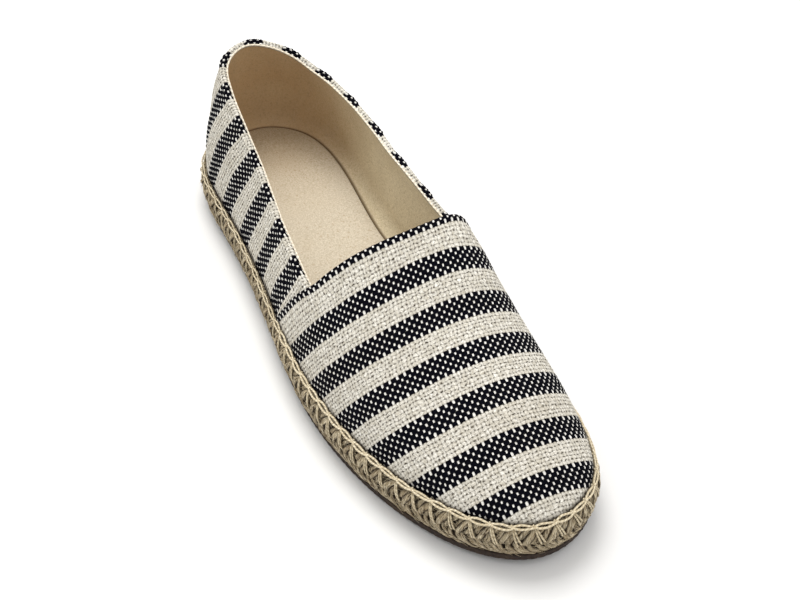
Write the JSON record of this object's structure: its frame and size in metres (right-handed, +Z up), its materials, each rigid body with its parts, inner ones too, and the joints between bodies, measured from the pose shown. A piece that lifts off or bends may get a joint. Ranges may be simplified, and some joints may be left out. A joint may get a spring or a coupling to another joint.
{
  "type": "espadrille",
  "caption": "Flat slip-on shoe with a striped canvas upper, open collar and throat, on a plaited jute sole with a thin rubber outsole.",
  "frame": {"origin": "middle of the footprint, on the floor", "axes": "+X to the toe, +Y to the inner (big toe) side, +Z up"},
  "size_m": [0.2552, 0.0832, 0.0643],
  "materials": {
    "outsole_rubber": "matt dark brown rubber",
    "jute": "plaited jute rope, dry fibres",
    "canvas": "coarse cream canvas with navy cross stripes",
    "sock": "smooth speckled beige lining board"
  },
  "bodies": {
    "root": {"outsole": "outsole_rubber", "midsole": "jute", "upper": "canvas", "insole": "sock"}
  },
  "joints": []
}
